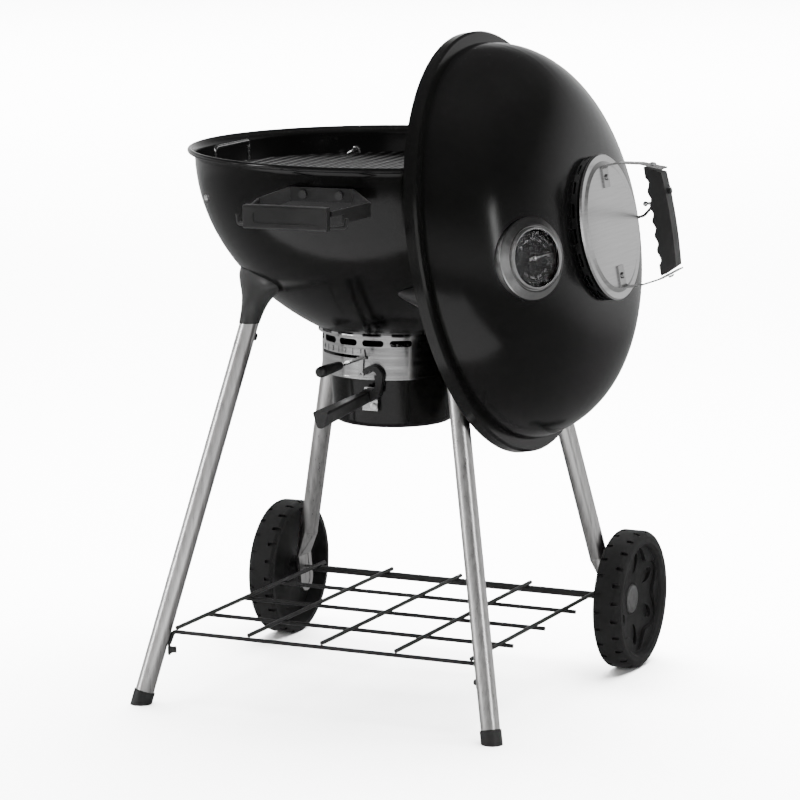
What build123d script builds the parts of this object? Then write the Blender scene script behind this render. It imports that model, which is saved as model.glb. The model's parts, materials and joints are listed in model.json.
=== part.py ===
"""Kettle charcoal grill: bowl on four splayed legs, two wheels, wire shelf, ash bucket, and the lid
hanging on the bowl's right-hand rim.

Frame: origin on the floor under the bowl's axis, +X to the right, -Y to the front, +Z up. Millimetres.
"""

from build123d import *
import os
from math import atan, atan2, cos, degrees, hypot, pi, radians, sin, sqrt

# ---------------------------------------------------------------- driving dimensions
SHEET = 2.0  # enamelled steel sheet of bowl and lid
FIT = 0.05  # radial clearance of a running fit

RIM_Z = 769.6  # top of the bowl's rolled rim
RIM_R = 288.0  # outside of the rolled rim
BEAD_R = 3.6  # radius of the rolled bead
WALL_R = 277.9  # bowl wall just under the rim
BOWL_DEPTH = 285.5  # depth at which the wall's curve would close
BOWL_N = 2.1055  # exponents of the wall's curve
BOWL_M = 1.5586
WALL_TOP_DEPTH = 12.0  # the wall is upright above this depth
FLOOR_R = 101.0  # the floor is a dished cap inside this radius

VENT_COUNT = 3
VENT_R = (28.0, 80.0)
VENT_HALF_ANGLE = 16.0

LEG_D = 26.5
LEG_WALL = 1.2
FRONT_FOOT = (267.6, -267.3)
FRONT_LEG_TOP = (154.2, -145.3)
REAR_LEG_TOP = (154.6, 147.6)
REAR_LEG_LOW = (241.5, 204.9, 125.0)
SOCKET_Z = 529.6
SOCKET_GRIP = 24.0  # how far a leg goes into its socket
FOOT_CAP_H = 19.0

AXLE_D = 8.0
AXLE_Y = 218.0
WHEEL_R = 100.3
AXLE_Z = WHEEL_R
WHEEL_X = 276.7
WHEEL_W = 41.4
HUB_CAP_R = 21.0
TREAD_BLOCKS = 24
SPOKE_POCKETS = 6
PLATE_X = 247.0  # flattened ends of the rear legs
PLATE_T = 4.4
PLATE_W = 40.0

WIRE_D = 6.0
SHELF_X = 224.6
SHELF_FRONT = -237.0
SHELF_Z = 100.6  # centre height of the cross wires
SHELF_OVERHANG = 12.0

COLLAR_R = 101.0
COLLAR_T = 1.5
COLLAR_Z = 453.0
COLLAR_SLOTS = 16
LEVER_Z = 484.0
LEVER_SWEEP = 48.0

BUCKET_R = 89.0
BUCKET_FOOT_R = 85.0
BUCKET_Z = 382.0
BUCKET_TOP = 466.0
BUCKET_T = 1.5
PIVOT_X = 10.0
PIVOT_Z = 431.0
HOOK_X = 18.5
HOOK_Z = 459.0

HANDLE_BEARING = 4.8  # the side handle sits this far round to the right of the front
HANDLE_BAR_H = 19.0
HANDLE_BAR_T = 3.0
HANDLE_GRIP_L = 118.0
HANDLE_GRIP_Z = 716.4

GRATE_R = 262.0
GRATE_Z = 731.0
GRATE_ROD = 6.0
GRATE_PITCH = 16.0
HOOP_R = 3.5  # radius of the edge wire
BAR_D = 5.0
GRATE_BARS = (-165.0, -60.0, 44.0, 150.0)  # where the welded cross bars lie
GRATE_SPLIT = 147.0  # the fixed middle reaches this far each way
FLAP_START = 157.0  # the flaps start here
HINGE = (150.0, 195.0, GRATE_Z + 7.0)  # hinge loops of the two flaps
PIN_R = 2.5
BAIL_X = 249.5
COAL_GRATE_R = 207.0
COAL_GRATE_Z = 609.0
SUPPORT_BEARING = 42.3

LID_CENTRE = (161.2, -1.9, 641.6)  # centre of the lid's rim plane as it hangs
LID_TILT = 10.3
LID_R = 293.5
LID_SKIRT = 14.0
DOME_R = 276.6
DOME_H = 144.0
DOME_N = 1.912
DOME_M = 3.399
SHIELD_R = 101.0
SHIELD_Z = 173.5
STRAP_X = 84.0
STRAP_W = 20.0
STRAP_T = 2.2
GRIP_L = 66.0
GRIP_LOW = 236.0
GRIP_HIGH = 263.0

GAUGE_RADIUS = 197.0
GAUGE_BEARING = 94.15
GAUGE_R = 55.4
GAUGE_LENS_R = 38.5


# ---------------------------------------------------------------- helpers
def at_floor_of(radius, height, bottom=0.0):
    """An upright cylinder on the axis, standing on bottom."""
    return Pos(0, 0, bottom) * Cylinder(radius, height, align=(Align.CENTER, Align.CENTER, Align.MIN))


def ring(outer, inner, height, bottom=0.0):
    return at_floor_of(outer, height, bottom) - at_floor_of(inner, height + 2, bottom - 1)


def rod(start, end, diameter):
    """A straight round bar between two points."""
    start = Vector(*start)
    span = Vector(*end) - start
    place = Plane(origin=start, z_dir=span).location
    return place * Cylinder(diameter / 2, span.length, align=(Align.CENTER, Align.CENTER, Align.MIN))


def bent_rod(points, diameter, radius):
    """A round bar along straight runs joined by bends."""
    path = FilletPolyline(*points, radius=radius)
    section = Plane(origin=path @ 0, z_dir=path % 0) * Circle(diameter / 2)
    return sweep(section, path=path)


def turned(points):
    """A solid turned about Z from a closed outline of (radius, height) corners."""
    outline = Polyline(*[(r, 0, z) for r, z in points], close=True)
    return revolve(make_face(outline), Axis.Z)


def turned_faces(*faces):
    """The union of several half sections, each turned about Z."""
    return joined([revolve(face, Axis.Z) for face in faces])


def grouped(pieces, place=Location()):
    """Several loose solids as one node, each moved by place."""
    return Compound(children=[place * piece for piece in pieces])


def joined(pieces):
    whole = pieces[0]
    for piece in pieces[1:]:
        whole += piece
    return whole


def sector(inner, outer, start, end, bottom, top):
    """A block between two radii and two bearings in degrees."""

    def at(radius, bearing):
        return (radius * cos(radians(bearing)), radius * sin(radians(bearing)), bottom)

    middle = (start + end) / 2
    edges = Curve() + [
        ThreePointArc(at(inner, start), at(inner, middle), at(inner, end)),
        Line(at(inner, end), at(outer, end)),
        ThreePointArc(at(outer, end), at(outer, middle), at(outer, start)),
        Line(at(outer, start), at(inner, start)),
    ]
    return extrude(make_face(edges), top - bottom, dir=(0, 0, 1))


def upright_plate(points, y_front, y_back):
    """A plate cut to an outline of (x, z) corners, between two depths."""
    face = make_face(Polyline(*[(x, y_front, z) for x, z in points], close=True))
    return extrude(face, y_back - y_front, dir=(0, 1, 0))


def box_between(low, high):
    size = [b - a for a, b in zip(low, high)]
    middle = [(a + b) / 2 for a, b in zip(low, high)]
    return Pos(*middle) * Box(*size)


def write(name, shape):
    export_step(shape, f"parts/{name}.step")


# ---------------------------------------------------------------- bowl curve
def wall_radius(depth):
    return WALL_R * (1 - (depth / BOWL_DEPTH) ** BOWL_N) ** (1 / BOWL_M)


def wall_depth(radius):
    return BOWL_DEPTH * (1 - (radius / WALL_R) ** BOWL_M) ** (1 / BOWL_N)


def wall_slope(depth):
    """Change of the wall's radius with depth."""
    step = 0.01
    return (wall_radius(depth + step) - wall_radius(depth - step)) / (2 * step)


def wall_point(depth, offset):
    """Radius and height of the wall's outer skin, moved out along its normal by offset."""
    slope = wall_slope(depth)
    length = hypot(1, slope)
    return wall_radius(depth) + offset / length, RIM_Z - depth + offset * slope / length


FLOOR_DEPTH = wall_depth(FLOOR_R)
FLOOR_ANGLE = atan(-1 / wall_slope(FLOOR_DEPTH))
FLOOR_SPHERE_R = FLOOR_R / sin(FLOOR_ANGLE)
FLOOR_SPHERE_Z = RIM_Z - FLOOR_DEPTH + FLOOR_SPHERE_R * cos(FLOOR_ANGLE)


def bowl_half(offset, top):
    """Half section of everything inside the bowl's skin, up to a height."""
    steps = 12
    depths = [WALL_TOP_DEPTH + (FLOOR_DEPTH - WALL_TOP_DEPTH) * sin(pi / 2 * i / steps) for i in range(steps + 1)]
    wall = [(r, 0, z) for r, z in (wall_point(d, offset) for d in depths)]
    radius = FLOOR_SPHERE_R + offset
    half = FLOOR_ANGLE / 2
    dish = (radius * sin(half), 0, FLOOR_SPHERE_Z - radius * cos(half))
    lowest = (0, 0, FLOOR_SPHERE_Z - radius)
    edges = Curve() + [
        Spline(*wall),
        ThreePointArc(wall[-1], dish, lowest),
        Polyline(lowest, (0, 0, top), (wall[0][0], 0, top), wall[0]),
    ]
    return make_face(edges)


def inside_bowl(offset, top=RIM_Z):
    """The whole space inside the bowl's outer skin, moved out by offset."""
    return revolve(bowl_half(offset, top), Axis.Z)


def make_bowl():
    top = RIM_Z - 12.5
    section = bowl_half(0, top) - bowl_half(-SHEET, top + 5)
    wall = wall_point(WALL_TOP_DEPTH, 0)[0]
    bead = (RIM_R - BEAD_R, RIM_Z - BEAD_R)
    outer = Spline((wall, 0, top - 1), (wall + 0.7, 0, top + 3), (wall + 3.4, 0, top + 6.7), (bead[0], 0, bead[1] - 1))
    inner = Spline(
        (bead[0], 0, bead[1] + 2),
        (wall + 1.6, 0, top + 9),
        (wall - 1.4, 0, top + 4.6),
        (wall - SHEET, 0, top - 1),
    )
    flare = make_face(Curve() + [outer, Line(outer @ 1, inner @ 0), inner, Line(inner @ 1, outer @ 0)])
    roll = Plane(origin=(bead[0], 0, bead[1]), z_dir=(0, -1, 0)) * Circle(BEAD_R)
    bowl = turned_faces(section, flare, roll)
    for i in range(VENT_COUNT):
        middle = 30 + 360 / VENT_COUNT * i
        bowl -= sector(*VENT_R, middle - VENT_HALF_ANGLE, middle + VENT_HALF_ANGLE, 470, 540)
    return bowl - at_floor_of(AXLE_D / 2 + FIT, 60, 470)


# ---------------------------------------------------------------- legs, shelf and wheels
def leg_end_points(side, rear):
    """Top and bottom of a leg's straight tube."""
    if rear:
        top = Vector(side * REAR_LEG_TOP[0], REAR_LEG_TOP[1], SOCKET_Z)
        low = Vector(side * REAR_LEG_LOW[0], REAR_LEG_LOW[1], REAR_LEG_LOW[2])
    else:
        top = Vector(side * FRONT_LEG_TOP[0], FRONT_LEG_TOP[1], SOCKET_Z)
        low = Vector(side * FRONT_FOOT[0], FRONT_FOOT[1], 0)
    return top, low


def leg_bar(side, rear, radius, start, end):
    """A bar on a leg's axis, between two distances above its low point."""
    top, low = leg_end_points(side, rear)
    along = (top - low).normalized()
    return rod(low + along * start, low + along * end, 2 * radius)


def leg_length(side, rear):
    top, low = leg_end_points(side, rear)
    return (top - low).length


def make_front_leg(side):
    full = leg_length(side, False) + SOCKET_GRIP
    outer = leg_bar(side, False, LEG_D / 2, 6, full)
    return outer - leg_bar(side, False, LEG_D / 2 - LEG_WALL, 4, full + 2)


def make_rear_leg(side):
    """A tube with its lower end pressed flat round the axle."""
    full = leg_length(side, True) + SOCKET_GRIP
    press = 34.0
    tube = leg_bar(side, True, LEG_D / 2, press, full) - leg_bar(side, True, LEG_D / 2 - LEG_WALL, press + 4, full + 2)
    top, low = leg_end_points(side, True)
    along = (top - low).normalized()
    flat_top = Vector(side * PLATE_X, 209.0, 122.0)
    level = Vector(0, 1, 0) - along * along.Y
    lap = 0.8
    round_plane = Plane(origin=low + along * (press + 4), x_dir=level, z_dir=along)
    round_end = round_plane * RectangleRounded(LEG_D + lap, LEG_D + lap, (LEG_D + lap) / 2 - 0.2)
    flat_plane = Plane(origin=flat_top, x_dir=(0, 1, 0), z_dir=(0, 0, 1))
    flat_end = flat_plane * RectangleRounded(PLATE_W + lap, PLATE_T + lap, (PLATE_T + lap) / 2 - 0.2)
    neck = loft([flat_end, round_end])
    plate_face = Plane(origin=(side * PLATE_X, AXLE_Y, AXLE_Z), x_dir=(0, 1, 0), z_dir=(1, 0, 0))
    lower = (AXLE_Y - 2, AXLE_Z - 15)
    upper = (flat_top.Y, flat_top.Z)
    points = [(y - AXLE_Y, z - AXLE_Z) for y, z in (lower, upper)]
    slot = SlotCenterToCenter(hypot(points[1][0] - points[0][0], points[1][1] - points[0][1]), PLATE_W)
    lean = degrees(atan2(points[1][1] - points[0][1], points[1][0] - points[0][0]))
    middle = ((points[0][0] + points[1][0]) / 2, (points[0][1] + points[1][1]) / 2)
    plate = extrude(plate_face * Pos(*middle) * Rot(0, 0, lean) * slot, PLATE_T / 2, both=True)
    pocket = extrude(plate_face * Pos(*middle) * Rot(0, 0, lean) * SlotOverall(62, 22), PLATE_T, both=True)
    core = extrude(plate_face * Pos(*middle) * Rot(0, 0, lean) * SlotOverall(80, 60), PLATE_T / 2 - 0.9, both=True)
    plate -= box_between((side * PLATE_X - 20, 150, flat_top.Z + 3), (side * PLATE_X + 20, 260, 200))
    leg = tube + neck + (plate - (pocket - core))
    return leg - rod((side * 230, AXLE_Y, AXLE_Z), (side * 260, AXLE_Y, AXLE_Z), AXLE_D + 2 * FIT)


def make_socket(side, rear):
    """A flared casting between a leg and the bowl's underside."""
    top, low = leg_end_points(side, rear)
    bearing = atan2(top.Y, top.X)
    start = hypot(top.X, top.Y)
    outward = Vector(cos(bearing), sin(bearing), 0)
    stations = [
        (0.0, 0.0, 14.6, 14.6),
        (18.4, -5.4, 16.5, 20.0),
        (38.4, -12.4, 20.5, 40.0),
        (58.4, -21.9, 30.0, 70.0),
        (76.4, -33.9, 42.0, 60.0),
    ]
    sections = []
    for rise, inwards, depth, half_width in stations:
        centre = outward * (start + inwards) + Vector(0, 0, SOCKET_Z + rise)
        sections.append(Plane(origin=centre, x_dir=outward, z_dir=(0, 0, 1)) * Ellipse(depth, half_width))
    socket = loft(sections) - inside_bowl(0.05)
    hole = leg_bar(side, rear, LEG_D / 2 + FIT, leg_length(side, rear) - 30, leg_length(side, rear) + SOCKET_GRIP + 1)
    return socket - hole


def make_foot_cap(side):
    cap = leg_bar(side, False, LEG_D / 2 + 1.6, -12, FOOT_CAP_H)
    cap -= leg_bar(side, False, LEG_D / 2 + FIT, 5.5, FOOT_CAP_H + 5)
    return cap - box_between((side * 267.6 - 60, -340, -40), (side * 267.6 + 60, -200, 0))


def make_leg_bolts():
    """One dark domed bolt on the inner side of each leg, just under its socket."""
    heads = []
    for side in (-1, 1):
        for rear in (False, True):
            top, low = leg_end_points(side, rear)
            along = (top - low).normalized()
            inward = Vector(-top.X, -top.Y, 0)
            inward = (inward - along * inward.dot(along)).normalized()
            seat = top - along * 17 + inward * (LEG_D / 2 - 0.6)
            stem = rod(seat, seat + inward * 1.4, 8)
            dome = Plane(origin=seat + inward * 1.2, z_dir=inward).location * at_floor_of(5.5, 2.2)
            bolt = stem + fillet(dome.edges().group_by(lambda e: (e.center() - seat).dot(inward))[-1], 1.6)
            heads.append(bolt - leg_bar(side, rear, LEG_D / 2 + 0.02, 0, leg_length(side, rear)))
    return grouped(heads)


def make_shelf():
    """A wire shelf whose rear bar is the sleeve over the axle. Each wire stays a solid of its own."""
    spacing = (AXLE_Y - SHELF_FRONT) / 4
    top_z = SHELF_Z + WIRE_D
    sleeve_d = AXLE_D + 2.5
    sleeve = rod((-235, AXLE_Y, AXLE_Z), (235, AXLE_Y, AXLE_Z), sleeve_d)
    wires = [sleeve - rod((-240, AXLE_Y, AXLE_Z), (240, AXLE_Y, AXLE_Z), AXLE_D + 2 * FIT)]
    for i in range(5):
        x = SHELF_X * (i - 2) / 2
        wire = rod((x, SHELF_FRONT - 1, top_z), (x, AXLE_Y + 16, top_z), WIRE_D)
        wires.append(wire - rod((-240, AXLE_Y, AXLE_Z), (240, AXLE_Y, AXLE_Z), sleeve_d + 0.04))
    reach = SHELF_X + SHELF_OVERHANG
    for i in (1, 2, 3):
        y = SHELF_FRONT + spacing * i
        wires.append(rod((-reach, y, SHELF_Z), (reach, y, SHELF_Z), WIRE_D))
    y = SHELF_FRONT - 0.6
    front = bent_rod([(-237.6, y, 83), (-230.5, y, SHELF_Z), (230.5, y, SHELF_Z), (237.6, y, 83)], WIRE_D, 6)
    for side in (-1, 1):
        front += shelf_tab_place(side) * Box(3, 11, 20)
        front -= leg_bar(side, False, LEG_D / 2 + 0.05, 40, 160)
    return grouped(wires + [front])


def shelf_tab_place(side):
    """Where the flat tab at each end of the shelf's front bar meets its leg."""
    return Pos(side * 237.6, SHELF_FRONT - 1.6, 77.5) * Rot(0, 0, side * -34)


def make_shelf_bolts():
    """Capped bolts that clamp the shelf's front tabs to the front legs."""
    bolts = []
    for side in (-1, 1):
        turn = Rot(0, -90 * side, 0)
        bolts.append(shelf_tab_place(side) * Pos(-side * 1.55, 0, -3.5) * turn * at_floor_of(5.6, 2.2))
        bolts.append(shelf_tab_place(side) * Pos(-side * 3.75, 0, -3.5) * turn * at_floor_of(4.6, 6.5))
    return grouped([bolts[0] + bolts[1], bolts[2] + bolts[3]])


def make_axle():
    return rod((-280, AXLE_Y, AXLE_Z), (280, AXLE_Y, AXLE_Z), AXLE_D)


def make_axle_washers():
    place = Pos(0, AXLE_Y, AXLE_Z) * Rot(0, 90, 0)
    inner = PLATE_X + PLATE_T / 2 + 0.1
    washer = ring(9, AXLE_D / 2 + FIT, WHEEL_X - WHEEL_W / 2 - 0.4 - inner, inner)
    return grouped([washer, Rot(180, 0, 0) * washer], place)


def make_axle_nuts():
    place = Pos(0, AXLE_Y, AXLE_Z) * Rot(0, 90, 0)
    nut = ring(8.5, AXLE_D / 2, 2.6, WHEEL_X + 0.3)
    return grouped([nut, Rot(180, 0, 0) * nut], place)


def wave_radius(bearing):
    """Inner edge of the wheel's raised border: widest over each pocket."""
    return 68 + 8.5 * cos(radians(SPOKE_POCKETS * bearing))


def wheel_body():
    """A moulded wheel about Z, its outer face towards +Z."""
    half = WHEEL_W / 2
    tread = WHEEL_R
    outline = Curve() + [
        Polyline((4.05, 0, -half), (14, 0, -half), (16.5, 0, -8), (26, 0, -4.5), (74, 0, 3), (88.5, 0, 3)),
        Polyline((88.5, 0, 3), (89.5, 0, -half), (95, 0, -half)),
        ThreePointArc((95, 0, -half), (tread - 1.3, 0, -half + 1.6), (tread, 0, -half + 6)),
        Line((tread, 0, -half + 6), (tread, 0, half - 9)),
        ThreePointArc((tread, 0, half - 9), (tread - 3.4, 0, half - 2.6), (tread - 12, 0, half)),
        Polyline((tread - 12, 0, half), (83, 0, half), (79, 0, half - 4), (76, 0, 8.5), (25, 0, 1.2)),
        Polyline((25, 0, 1.2), (22, 0, 1.2), (22, 0, -0.4), (4.05, 0, -0.4), (4.05, 0, -half)),
    ]
    wheel = revolve(make_face(outline), Axis.Z)
    steps = 48
    wave = [
        (wave_radius(b) * cos(radians(b)), wave_radius(b) * sin(radians(b)), 2)
        for b in [360 / steps * i for i in range(steps)]
    ]
    lobe = extrude(make_face(Spline(*wave, periodic=True)), 10.5, dir=(0, 0, 1))
    wheel += at_floor_of(80, 8, 4) - lobe
    for i in range(SPOKE_POCKETS):
        pocket = Rot(0, 0, 360 / SPOKE_POCKETS * i) * Pos(53, 0, 1.8) * extrude(Ellipse(15.5, 9), 20)
        wheel -= pocket
    pitch = 360 / TREAD_BLOCKS
    cutter = Pos(tread + 1, 0, 0) * Box(9, 5.2, 13)
    for i in range(TREAD_BLOCKS):
        wheel -= Rot(0, 0, pitch * i) * Pos(0, 0, -half + 5.5) * cutter
        wheel -= Rot(0, 0, pitch * (i + 0.5)) * Pos(0, 0, half - 6.5) * cutter
    return wheel


def wheel_place(side):
    """Puts a wheel-shaped piece on its axle end, its +Z face outwards."""
    turn = Rot(0, 90, 0) if side > 0 else Rot(0, -90, 0)
    return Pos(side * WHEEL_X, AXLE_Y, AXLE_Z) * turn


def hub_cap_body():
    outline = [(0, 4), (14, 3.6), (19.5, 2.4), (HUB_CAP_R, 0.9), (HUB_CAP_R, -1.6), (12, -1.6)]
    outline += [(11.5, 2.8), (0, 3.0)]
    return Pos(0, 0, 1.2) * turned(outline)


# ---------------------------------------------------------------- vents and ash bucket
def make_vent_collar():
    """A bright ring under the bowl with air slots, a lever slot and a stepped top flange."""
    body = ring(COLLAR_R, COLLAR_R - COLLAR_T, RIM_Z - 240 - COLLAR_Z, COLLAR_Z)
    body += ring(COLLAR_R + 5.5, COLLAR_R - 0.5, 12, 511)
    body += ring(COLLAR_R + 1.0, COLLAR_R - COLLAR_T, 3, COLLAR_Z)
    pitch = 360 / COLLAR_SLOTS
    long_slot = Rot(90, 0, 0) * extrude(SlotOverall(31, 9), 8)
    notch = Box(27, 9, 3.2)
    for i in range(COLLAR_SLOTS):
        turn = Rot(0, 0, pitch * i + 8)
        body -= turn * Pos(0, -COLLAR_R + 4, 504) * long_slot
        body -= turn * Pos(0, -COLLAR_R - 5, 515.4) * notch
    slot_end = -90 + 4
    body -= sector(90, 110, -90 - LEVER_SWEEP - 5, slot_end, LEVER_Z - 2.2, LEVER_Z + 2.2)
    return body - inside_bowl(0.05)


def make_collar_screws():
    heads = []
    for bearing in (15, 95, 175):
        seat = Pos(0, 0, 0) * Rot(0, 0, bearing) * Pos(COLLAR_R + 0.02, 0, 494) * Rot(0, 90, 0)
        head = at_floor_of(4.2, 2.0)
        heads.append(seat * (head - Pos(0, 0, 1.5) * Box(1.2, 6, 2)))
    return grouped([head - at_floor_of(COLLAR_R + 0.03, 100, 450) for head in heads])


def make_vent_shaft():
    low = LEVER_Z - 8
    high = FLOOR_SPHERE_Z - FLOOR_SPHERE_R + SHEET + 4.6
    shaft = at_floor_of(AXLE_D / 2, high - low, low)
    return shaft + at_floor_of(8, 3, high) + at_floor_of(7, 2.2, low - 2.2)


def make_vent_blades():
    """Three sweeping blades that cover the bowl's floor openings."""
    skin = FLOOR_SPHERE_R - SHEET
    shell = Pos(0, 0, FLOOR_SPHERE_Z) * (Sphere(skin - 0.5) - Sphere(skin - 2.3))
    cutter = at_floor_of(20, 60, 480)
    for i in range(VENT_COUNT):
        middle = 30 + 360 / VENT_COUNT * i
        cutter += sector(12, 86, middle - VENT_HALF_ANGLE - 4, middle + VENT_HALF_ANGLE + 4, 480, 540)
    return (shell & cutter) - at_floor_of(AXLE_D / 2 + 0.02, 80, 470)


def make_vent_lever():
    """A flat arm under the floor, with a pointer strip that hangs to an eyelet outside the collar."""
    hub = at_floor_of(13, 5, LEVER_Z - 3.4)
    arm = box_between((-6, -110, LEVER_Z - 1.25), (6, -4, LEVER_Z + 1.25))
    outer = box_between((-4, -182, LEVER_Z - 1.25), (4, -108, LEVER_Z + 1.25))
    outline = [(-5, LEVER_Z - 1), (-3.5, 463), (0.5, 463), (1.5, LEVER_Z - 1), (4.5, LEVER_Z + 1), (2.2, 495)]
    outline += [(0.6, 495), (-4.5, LEVER_Z + 1)]
    strip = upright_plate(outline, -104.6, -103.2)
    eyelet = Pos(-2, -104.8, 461) * Rot(90, 0, 0) * ring(4.4, 1.9, 2.0, -1.0)
    lever = hub + arm + outer + strip + eyelet
    return lever - at_floor_of(AXLE_D / 2 + 0.02, 40, 470)


def make_vent_lever_grip():
    """A tapered grip on the end of the lever's arm."""
    outline = [(0, 176), (5.4, 176), (6.0, 180), (8.0, 232), (7.4, 238.5), (4.5, 241.5), (0, 242)]
    grip = turned(outline)
    grip = Pos(0, 0, LEVER_Z) * Rot(90, 0, 0) * grip
    return grip - box_between((-4.01, -182.01, LEVER_Z - 1.26), (4.01, -150, LEVER_Z + 1.26))


def make_ash_bucket():
    t = BUCKET_T
    outer = Curve() + [
        Line((0, 0, BUCKET_Z), (BUCKET_FOOT_R - 9, 0, BUCKET_Z)),
        ThreePointArc(
            (BUCKET_FOOT_R - 9, 0, BUCKET_Z), (BUCKET_FOOT_R - 2.6, 0, BUCKET_Z + 2.6), (BUCKET_FOOT_R, 0, BUCKET_Z + 9)
        ),
        Polyline((BUCKET_FOOT_R, 0, BUCKET_Z + 9), (BUCKET_R, 0, COLLAR_Z - 4), (BUCKET_R + 1, 0, BUCKET_TOP)),
        Polyline((BUCKET_R + 1, 0, BUCKET_TOP), (BUCKET_R + 1 - t, 0, BUCKET_TOP), (BUCKET_R - t, 0, COLLAR_Z - 4)),
        Line((BUCKET_R - t, 0, COLLAR_Z - 4), (BUCKET_FOOT_R - t, 0, BUCKET_Z + 9)),
        ThreePointArc(
            (BUCKET_FOOT_R - t, 0, BUCKET_Z + 9),
            (BUCKET_FOOT_R - t - 2.2, 0, BUCKET_Z + t + 2.2),
            (BUCKET_FOOT_R - 9, 0, BUCKET_Z + t),
        ),
        Polyline((BUCKET_FOOT_R - 9, 0, BUCKET_Z + t), (0, 0, BUCKET_Z + t), (0, 0, BUCKET_Z)),
    ]
    bucket = revolve(make_face(outer), Axis.Z)
    bead = Plane(origin=(BUCKET_R + 1, 0, BUCKET_TOP), z_dir=(0, -1, 0)) * Circle(1.8)
    return bucket + revolve(bead, Axis.Z)


def make_bucket_bracket():
    """A bright plate standing off the bucket's front on two webs."""
    outline = [(-3, 409), (20, 409), (20, 438), (16, 442), (0, 442), (-3, 424)]
    plate = upright_plate(outline, -97.5, -95.5)
    webs = box_between((-3, -96, 409), (20, -82, 411)) + box_between((18, -96, 409), (20, -82, 438))
    bracket = plate + webs + box_between((-3, -96, 409), (-1, -82, 424))
    bracket -= Pos(PIVOT_X, -96, PIVOT_Z) * Rot(90, 0, 0) * at_floor_of(3.5 + FIT, 20, -10)
    return bracket - turned([(0, 370), (85.05, 370), (85.05, 391), (89.05, 449), (90.05, 470), (0, 470)])


def make_bucket_rivets():
    """The rivet through the bracket's plate, and a second one at the back of the plate's foot."""
    head = Pos(PIVOT_X + 4.2, -97.5, 415.3) * Rot(90, 0, 0)
    dome = turned([(0, 0), (5.4, 0), (4.9, 0.9), (3.2, 1.4), (0, 1.6)])
    return head * dome


def handle_section(y, centre_x, centre_z, top_w, bottom_w, height, radius):
    """A rounded wedge section of the bucket's handle, broad side up."""
    corners = [(-bottom_w / 2, -height / 2), (bottom_w / 2, -height / 2), (top_w / 2, height / 2)]
    corners.append((-top_w / 2, height / 2))
    face = make_face(Polyline(*corners, close=True))
    face = fillet(face.vertices(), radius)
    return Plane(origin=(centre_x, y, centre_z), x_dir=(1, 0, 0), z_dir=(0, -1, 0)) * face


def make_bucket_handle():
    """A moulded grip that twists about its own length, with a C-shaped hook at its root."""
    sections = [
        handle_section(-106, 10, PIVOT_Z, 12, 9, 16, 2.0),
        handle_section(-160, 10.5, PIVOT_Z - 2.5, 16, 9, 18, 2.2),
        handle_section(-262, 11.5, PIVOT_Z - 8.5, 25, 8, 23, 3.0),
    ]
    grip = loft(sections, ruled=True)
    root = upright_plate([(3, 424.5), (18, 424.5), (29, 432), (30, 440), (3, 440)], -113, -99.4)
    centre = Plane(origin=(HOOK_X, -112.5, HOOK_Z), x_dir=(1, 0, 0), z_dir=(0, -1, 0))
    mouth = Polyline((0, 0), (-22, 9), (-30, -30), (4, -30), (6, -9), close=True)
    hook_face = centre * (Circle(16) - Circle(8.2) - make_face(mouth))
    hook = extrude(hook_face, -9.6)
    stem = upright_plate([(22, 462), (34.3, 462), (33, 449), (30, 438), (16, 438), (24, 448)], -112.5, -102.9)
    handle = grip + root + hook + stem
    return handle - Pos(PIVOT_X, -99, PIVOT_Z) * Rot(90, 0, 0) * at_floor_of(3.5, 6, -1)


def make_handle_pin():
    pin = rod((PIVOT_X, -92.6, PIVOT_Z), (PIVOT_X, -104, PIVOT_Z), 7)
    return pin + rod((PIVOT_X, -92.8, PIVOT_Z), (PIVOT_X, -95.2, PIVOT_Z), 12)


# ---------------------------------------------------------------- side handle
HANDLE_CORNERS = [(44.5, -279.1, 731.8), (78.5, -308.0, 718.4), (65.8, -371.0, 716.9), (60.0, -400.0, 716.6)]


def strap(start, end, low, high):
    """A flat upright bar between two corners, its edges low and high about the bar's middle."""
    a = Vector(*start)
    b = Vector(*end)
    span = b - a
    place = Plane(origin=(a + b) * 0.5, x_dir=span, z_dir=span.cross(Vector(0, 0, 1))).location
    return place * Pos(0, (low + high) / 2, 0) * Box(span.length + HANDLE_BAR_T * 0.7, high - low, HANDLE_BAR_T)


def make_side_handle_bar():
    """A flat bar bent into a hexagon: plate on the bowl, two slants, two long arms."""
    half = HANDLE_BAR_H / 2
    back, corner, neck, tip = HANDLE_CORNERS
    bars = [strap((-back[0], back[1], back[2]), back, -half, half)]
    for side in (-1, 1):
        points = [(side * x, y, z) for x, y, z in (back, corner, neck, tip)]
        bars.append(strap(points[0], points[1], -half, half))
        bars.append(strap(points[1], points[2], -half, half))
        bars.append(strap(points[2], points[3], half - 7, half))
    return Rot(0, 0, HANDLE_BEARING) * joined(bars)


def make_side_handle_grip():
    """A deep grip across the arms' ends, with a plain sunk panel in its face."""
    block = Pos(0, -407.5, HANDLE_GRIP_Z) * Box(HANDLE_GRIP_L, 14, 31.5)
    block = fillet(block.edges().filter_by(Axis.X), 3.2)
    block = fillet(block.edges().group_by(Axis.X)[0] + block.edges().group_by(Axis.X)[-1], 1.4)
    panel = Pos(0, -414.5, HANDLE_GRIP_Z) * Rot(90, 0, 0) * extrude(RectangleRounded(88, 16, 5), 0.8, both=True)
    grip = block - panel
    for side in (-1, 1):
        grip -= box_between((side * 60 - 3.2, -402.5, 718.5), (side * 60 + 3.2, -390, 727.5))
    return Rot(0, 0, HANDLE_BEARING) * grip


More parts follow.
